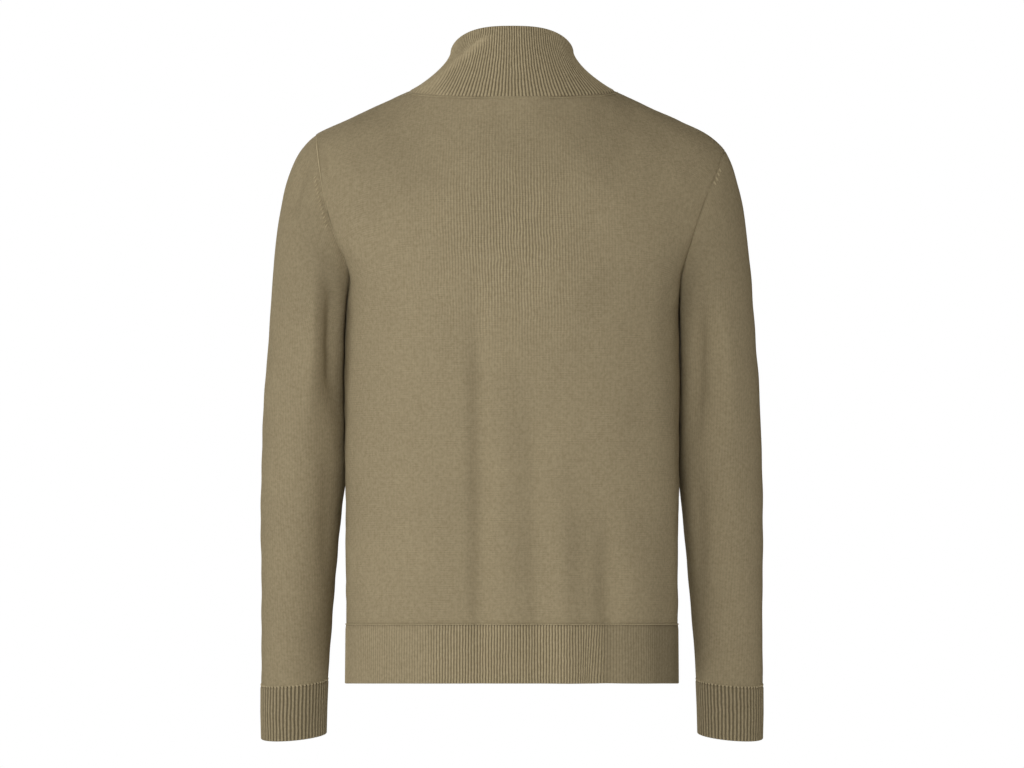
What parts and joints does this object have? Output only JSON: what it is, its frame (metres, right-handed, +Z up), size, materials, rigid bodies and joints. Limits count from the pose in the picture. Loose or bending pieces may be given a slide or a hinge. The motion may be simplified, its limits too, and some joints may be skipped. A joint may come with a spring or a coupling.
{
  "type": "zip-up cardigan",
  "caption": "Fine-knit zip-up cardigan with a ribbed stand collar, cuffs and hem, open inside as when worn.",
  "frame": {"origin": "on the middle plane, level with the side points of the neck seam, halfway between chest and back: where the garment bears on the wearer's shoulders", "axes": "+Z up, the front faces -Y and the back +Y, so +X is the wearer's left"},
  "size_m": [0.5708, 0.2608, 0.8001],
  "materials": {
    "knit": "matt fine-gauge plain knit, olive khaki",
    "rib": "matt fine rib knit, olive khaki",
    "tape": "woven zip tape, matt",
    "metal": "dark nickel, satin"
  },
  "bodies": {
    "cardigan": {"back_panel": "knit", "front_left": "knit", "front_right": "knit", "sleeve_left": "knit", "sleeve_right": "knit", "hem_band": "rib", "cuff_left": "rib", "cuff_right": "rib", "collar": "rib", "zip_tape_left": "tape", "zip_tape_right": "tape", "zip_chain": "metal", "zip_box": "metal", "zip_stop_left": "metal", "zip_stop_right": "metal", "zip_slider": "metal"},
    "zip_pull": {"zip_pull": "metal"}
  },
  "joints": [
    {"name": "pull_swing", "type": "hinge", "parent": "cardigan", "child": "zip_pull", "pos_m": [0, -0.08297, 0.00493], "axis": [-1, 0, 0], "range_deg": [0, 165]}
  ]
}
